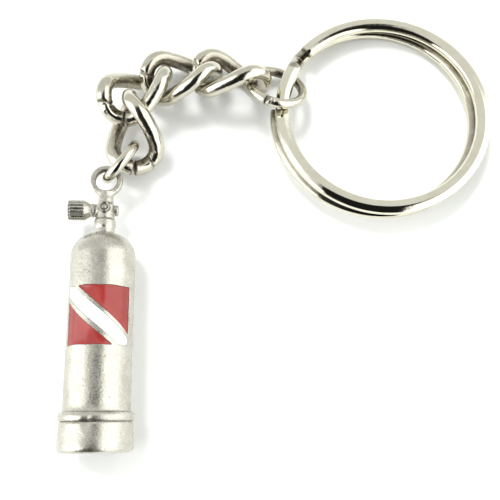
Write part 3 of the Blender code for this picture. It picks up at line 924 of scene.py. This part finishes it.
def build_ring(name, size, material, body):
    """A jump ring cut through once, with slanting tool ridges beside the cut."""
    cut, gap, ridges = RING_CUTS[name]
    diameter, wire = size
    radius = (diameter - wire) / 2
    length = 2 * math.pi * radius
    half = gap / 2 / radius
    shares = spaced_shares(RING_STATIONS, length)
    path = []
    for share in shares:
        angle = cut + half + (2 * math.pi - 2 * half) * share
        out = Vector((math.cos(angle), math.sin(angle), 0))
        path.append((out * radius, out))

    def section(k):
        from_end = min(shares[k], 1 - shares[k]) * length
        cut_end = math.exp(-(from_end / RING_JOINT_DARK) ** 2)
        ring = []
        for j in range(RING_SIDES):
            angle = 2 * math.pi * j / RING_SIDES
            slant = shares[k] * length + RIDGE_SLANT * math.sin(angle)
            raised = sum(math.exp(-((slant - place) / RIDGE_HALF_WIDTH) ** 2) for place in ridges)
            reach = wire / 2 * end_ease(from_end, wire / 2) * (RIDGE_FOOT + RIDGE_RISE * raised)
            # Painted shade with dirt on the inner side, and painted shade at the cut and in the hollows between
            # the tool ridges.
            inner = max(0.0, -math.cos(angle))
            between = 0.8 * (1 - min(raised * 2, 1)) if ridges and slant < ridges[-1] else 0.0
            ring.append((reach * math.cos(angle), reach * math.sin(angle), max(inner, cut_end, between)))
        return ring

    make_wire(name, path, section, material, body)


COIL_STATIONS = 620
COIL_SIDES = 56
COIL_RIBS = 7
COIL_RIB_SHARE = 0.024
COIL_EDGE_RADIUS = 0.9
# How far from each end the coil is painted dark: painted shade of the gap at the cut.
COIL_END_DARK = 0.08


def power_curve(value, power):
    """The value's size raised to a power, with its sign kept."""
    return math.copysign(abs(value) ** power, value)


def build_split_ring(material):
    """The key ring: flattened spring wire wound twice, faintly ribbed, cut square at both ends."""
    path = coil_path(COIL_STATIONS)
    length = COIL_TRAVEL * (SPLIT_RING_DIAMETER - COIL_WIDTH) / 2
    power = 2 / COIL_SQUARENESS

    def section(k):
        share = k / (COIL_STATIONS - 1)
        from_end = min(share, 1 - share) * length
        ease = end_ease(from_end, COIL_EDGE_RADIUS)
        cut_end = 0.7 * math.exp(-(from_end / COIL_END_DARK) ** 2)
        facing = 1 if share * COIL_TRAVEL < JOGGLE_START else -1
        ring = []
        for j in range(COIL_SIDES):
            angle = 2 * math.pi * j / COIL_SIDES
            across = power_curve(math.cos(angle), power) * COIL_WIDTH / 2
            along = power_curve(math.sin(angle), power) * COIL_HEIGHT / 2
            # Painted shade where the two turns touch, and at the cut ends.
            between_turns = max(0.0, -facing * math.sin(angle)) ** 2
            ribbed = ease * (1 - COIL_RIB_SHARE * (1 + math.sin(COIL_RIBS * angle + 0.8)))
            ring.append((across * ribbed, along * ribbed, max(0.8 * between_turns, cut_end)))
        return ring

    make_wire("split_ring", path, section, material, "key_ring")


def build_chain():
    """The jump rings, links and split ring: the chain a little duller than the key ring."""
    bright = nickel_material("nickel_plate", (0.52, 0.49, 0.40), (0.66, 0.635, 0.54), 0.15, 0.55)
    ring_finish = nickel_material("ring_nickel", (0.66, 0.635, 0.52), (0.74, 0.715, 0.60), 0.06, 0.25)
    build_ring("charm_jump_ring", CHARM_RING, bright, "charm_ring")
    for number in (1, 2, 3, 4):
        build_link(f"curb_link_{number}", bright, f"link_{number}")
    build_ring("end_jump_ring", END_RING, bright, "end_ring")
    build_split_ring(ring_finish)


# ---- stage, light and camera -----------------------------------------------------------------------
FLOOR_HALF = 1.5
FLOOR_GAP_BELOW = 0.00002
# The tent's brightness by direction. An edge is where a change starts and ends along the direction's X or Y,
# or along a mix of the two, in which the slant is the share of the other one.
BACK_LIGHT = 0.93
WEST_LIGHT = 2.9
WEST_SLANT = 0.25
WEST_EDGE = (-0.42, -0.58)
WEST_FAR_EDGE = (0.30, 0.05)
EAST_LIGHT = 2.2
EAST_EDGE = (0.36, 0.48)
EAST_FAR_EDGE = (0.62, 0.45)
OPENING_EAST_EDGE = (0.42, 0.36)
OPENING_WEST_SLANT = -0.55
OPENING_WEST_EDGE = (-0.30, -0.20)
OPENING_FAR_SLANT = -0.6
OPENING_FAR_EDGE = (0.18, 0.06)
OPENING_DARK = 0.985
LAMP_STRENGTH = 1.5
LAMP_SPREAD = 16 * DEG
LAMP_FROM = (-0.30, 0.50, 1.0)
CAMERA_PLACE = (-0.00465, -0.02495, 0.0922)
CAMERA_TILT = 13 * DEG
CAMERA_LENS = 48.96


def build_floor():
    """Plain pale paper, just below the lowest point of the object."""
    material, tree, shader, add = new_material("paper")
    place = add("ShaderNodeTexCoord").outputs["Object"]
    fibres = add("ShaderNodeTexNoise", {"Vector": place, "Scale": 900.0, "Detail": 3.0})
    tone = ramp(add, fibres.outputs["Fac"], [(0.2, (0.93, 0.94, 0.935)), (0.8, (0.96, 0.965, 0.96))])
    tree.links.new(tone.outputs["Color"], shader.inputs["Base Color"])
    shader.inputs["Roughness"].default_value = 0.8
    half = FLOOR_HALF
    corners = [(-half, -half, 0), (half, -half, 0), (half, half, 0), (-half, half, 0)]
    mesh = bpy.data.meshes.new("paper_floor")
    mesh.from_pydata(corners, [], [(0, 1, 2, 3)])
    mesh.materials.append(material)
    floor = bpy.data.objects.new("paper_floor", mesh)
    floor.location.z = CAD_BOX[0][2] - FLOOR_GAP_BELOW
    bpy.context.scene.collection.objects.link(floor)


def build_light():
    """A pale tent round the object: bright sides, a softer back, and a dark opening overhead and in front."""
    world = bpy.data.worlds.new("studio")
    world.use_nodes = True
    tree = world.node_tree
    background = tree.nodes["Background"]

    def step(value, edge):
        """0 before the edge starts, 1 after it ends, smooth between."""
        node = tree.nodes.new("ShaderNodeMapRange")
        node.interpolation_type = "SMOOTHSTEP"
        node.inputs["From Min"].default_value, node.inputs["From Max"].default_value = edge
        tree.links.new(value, node.inputs["Value"])
        return node.outputs["Result"]

    def calculate(operation, *values):
        """A Math node's result, from numbers or other results."""
        node = tree.nodes.new("ShaderNodeMath")
        node.operation = operation
        for socket, value in zip(node.inputs, values):
            if isinstance(value, bpy.types.NodeSocket):
                tree.links.new(value, socket)
            else:
                socket.default_value = value
        return node.outputs[0]

    direction = tree.nodes.new("ShaderNodeTexCoord").outputs["Generated"]
    parts = tree.nodes.new("ShaderNodeSeparateXYZ")
    tree.links.new(direction, parts.inputs[0])
    x, y, _ = parts.outputs

    west_line = calculate("MULTIPLY_ADD", y, WEST_SLANT, x)
    west = calculate("MULTIPLY", step(west_line, WEST_EDGE), step(y, WEST_FAR_EDGE))
    east = calculate("MULTIPLY", step(x, EAST_EDGE), step(y, EAST_FAR_EDGE))
    side_line = calculate("MULTIPLY_ADD", y, OPENING_WEST_SLANT, x)
    far_line = calculate("MULTIPLY_ADD", x, OPENING_FAR_SLANT, y)
    opening = calculate("MULTIPLY", step(x, OPENING_EAST_EDGE), step(side_line, OPENING_WEST_EDGE))
    opening = calculate("MULTIPLY", opening, step(far_line, OPENING_FAR_EDGE))
    light = calculate("MULTIPLY_ADD", west, WEST_LIGHT - BACK_LIGHT, BACK_LIGHT)
    light = calculate("MULTIPLY_ADD", east, EAST_LIGHT - BACK_LIGHT, light)
    light = calculate("MULTIPLY", light, calculate("MULTIPLY_ADD", opening, -OPENING_DARK, 1.0))
    tree.links.new(light, background.inputs["Strength"])
    background.inputs["Color"].default_value = (0.99, 1.0, 0.98, 1)
    bpy.context.scene.world = world


def build_lamp():
    """A soft lamp high behind the object, a little to its left, that gives the floor its short shadows."""
    light = bpy.data.lights.new("lamp", "SUN")
    light.energy = LAMP_STRENGTH
    light.angle = LAMP_SPREAD
    lamp = bpy.data.objects.new("lamp", light)
    lamp.rotation_euler = Vector(LAMP_FROM).to_track_quat("Z", "Y").to_euler()
    lamp.visible_glossy = False
    bpy.context.scene.collection.objects.link(lamp)


def build_camera():
    """The photograph's view: nearly straight down, tipped a little towards the far side."""
    camera = bpy.data.cameras.new("camera")
    camera.lens = CAMERA_LENS
    camera.sensor_width = 36
    camera.clip_start = 0.005
    camera.clip_end = 10
    obj = bpy.data.objects.new("camera", camera)
    obj.location = CAMERA_PLACE
    obj.rotation_euler = (CAMERA_TILT, 0, 0)
    bpy.context.scene.collection.objects.link(obj)
    bpy.context.scene.camera = obj


build_camera()
build_floor()
build_light()
build_lamp()
build_charm()
build_chain()

bpy.context.scene.view_settings.view_transform = "Standard"
